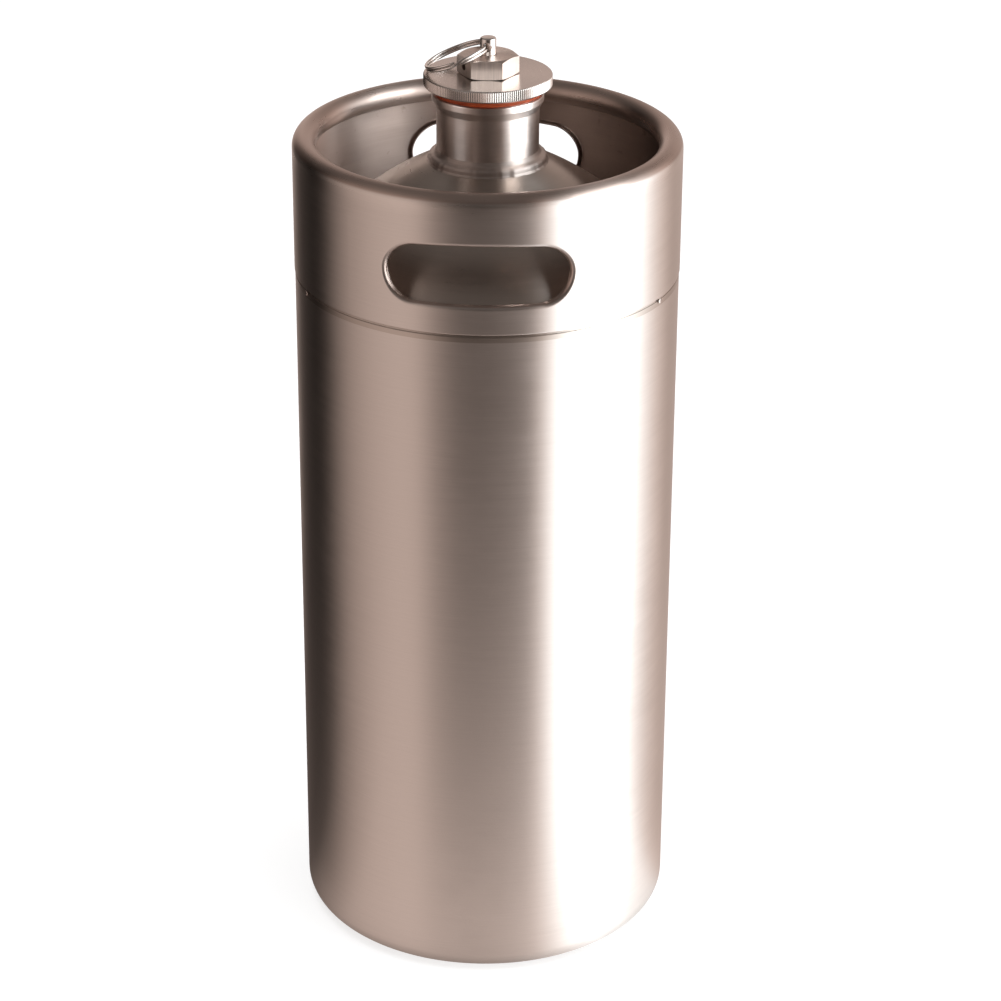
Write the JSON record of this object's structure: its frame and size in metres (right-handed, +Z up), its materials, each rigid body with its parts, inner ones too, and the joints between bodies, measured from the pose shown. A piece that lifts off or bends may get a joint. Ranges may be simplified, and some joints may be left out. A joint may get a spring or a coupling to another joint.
{
  "type": "small beer keg",
  "caption": "Upright stainless keg with a rolled carrying collar, hand holes, a threaded neck and a screw cap that holds a ring-pull relief valve.",
  "frame": {"origin": "centre of the foot, on the surface that the keg stands on", "axes": "+Z up along the keg's axis; the two hand holes face -Y and +Y"},
  "size_m": [0.1706, 0.1706, 0.4205],
  "materials": {
    "shell_steel": "fine brushing round the body",
    "collar_steel": "fine brushing round the collar",
    "weld_steel": "dull weld metal",
    "neck_steel": "fine turned",
    "cap_steel": "turned face and knurled edge",
    "valve_steel": "machined satin",
    "spring_wire": "drawn spring wire",
    "ring_wire": "bright drawn wire",
    "gasket_silicone": "satin orange-red silicone",
    "seal_rubber": "matt black rubber"
  },
  "bodies": {
    "vessel": {"body_shell": "shell_steel", "base_end": "shell_steel", "shoulder_dome": "shell_steel", "carry_collar": "collar_steel", "collar_tack_weld_1": "weld_steel", "collar_tack_weld_2": "weld_steel", "collar_tack_weld_3": "weld_steel", "collar_tack_weld_4": "weld_steel", "neck_weld_bead": "weld_steel", "threaded_neck": "neck_steel"},
    "gasket": {"cap_gasket": "gasket_silicone"},
    "cap": {"screw_cap": "cap_steel", "relief_sealing_washer": "seal_rubber", "relief_body": "valve_steel", "relief_seat": "valve_steel", "relief_spring": "spring_wire"},
    "valve_stem": {"relief_stem": "valve_steel", "relief_poppet": "valve_steel", "relief_seal": "seal_rubber"},
    "ring": {"pull_ring": "ring_wire"}
  },
  "joints": [
    {"name": "cap_rise", "type": "slide", "parent": "vessel", "child": "gasket", "axis": [0, 0, 1], "range_m": [0, 0.018]},
    {"name": "cap_turn", "type": "hinge", "parent": "gasket", "child": "cap", "pos_m": [0, 0, 0.4], "axis": [0, 0, 1], "range_deg": [0, 2160]},
    {"name": "relief_pull", "type": "slide", "parent": "cap", "child": "valve_stem", "axis": [0, 0, 1], "range_m": [0, 0.0025], "stiffness_N_per_m": 1200, "deforming": ["relief_spring"]},
    {"name": "ring_swing", "type": "hinge", "parent": "valve_stem", "child": "ring", "pos_m": [0, 0, 0.4167], "axis": [0.0976, 0.9952, 0], "range_deg": [0, 222.6]}
  ],
  "couplings": [
    {"joint": "cap_rise", "follows": "cap_turn", "m_per_rad": 0.00047746}
  ]
}
